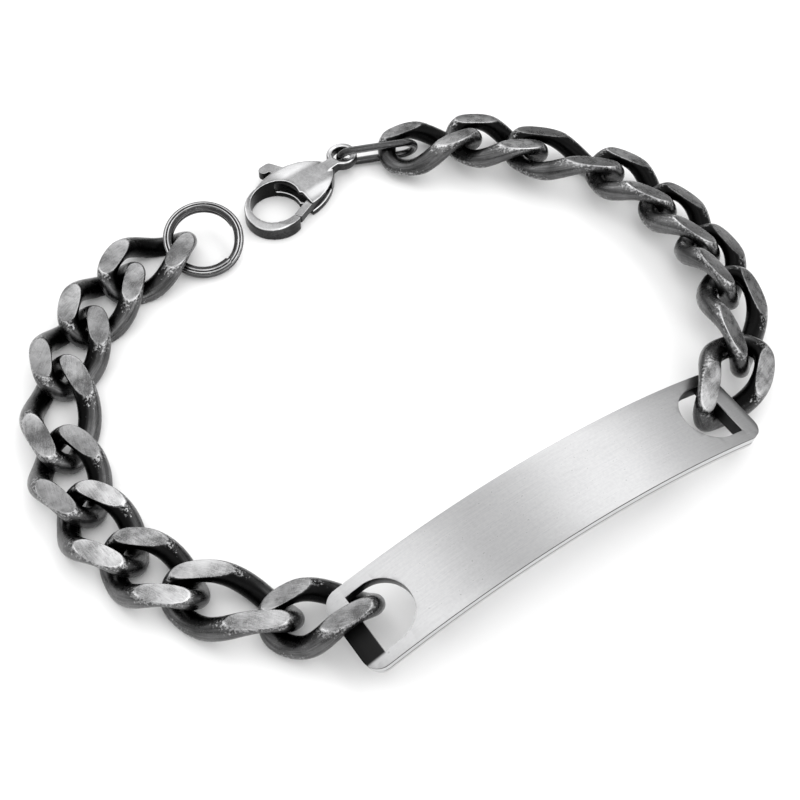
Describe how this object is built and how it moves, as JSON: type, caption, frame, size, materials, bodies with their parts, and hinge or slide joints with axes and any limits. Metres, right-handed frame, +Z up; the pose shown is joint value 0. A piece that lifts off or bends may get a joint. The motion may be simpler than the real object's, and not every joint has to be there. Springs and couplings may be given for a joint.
{
  "type": "chain identity bracelet",
  "caption": "Steel identity bracelet lying open: an arched plate with a D-shaped hole at each end, curb chain in short and long links, a split ring and a sprung lobster clasp.",
  "frame": {"origin": "on the surface that the bracelet lies on, under the middle of its box", "axes": "+Z up from that surface; +X along the box's long side, to the right when the plate is in front; +Y towards the clasp and the far side of the loop"},
  "size_m": [0.0808, 0.0749, 0.0081],
  "materials": {
    "plate": "brushed along its length",
    "chain": "darkened steel with lighter ground flats",
    "ring": "polished dark steel",
    "clasp": "satin"
  },
  "bodies": {
    "bracelet": {"id_plate": "plate", "left_link_1": "chain", "left_link_2": "chain", "left_link_3": "chain", "left_link_4": "chain", "left_link_5": "chain", "left_link_6": "chain", "left_link_7": "chain", "left_link_8": "chain", "left_link_9": "chain", "right_link_1": "chain", "right_link_2": "chain", "right_link_3": "chain", "right_link_4": "chain", "right_link_5": "chain", "right_link_6": "chain", "right_link_7": "chain", "right_link_8": "chain", "end_ring": "ring", "connector": "ring", "clasp_body": "clasp", "clasp_pin": "clasp"},
    "clasp_lever": {"clasp_lever": "clasp"}
  },
  "joints": [
    {"name": "clasp_lever_hinge", "type": "hinge", "parent": "bracelet", "child": "clasp_lever", "pos_m": [-0.01013, 0.02711, 0.00145], "axis": [0, 0, -1], "range_deg": [0, 20], "stiffness_Nm_per_rad": 0.01, "springref_deg": -22.92}
  ]
}
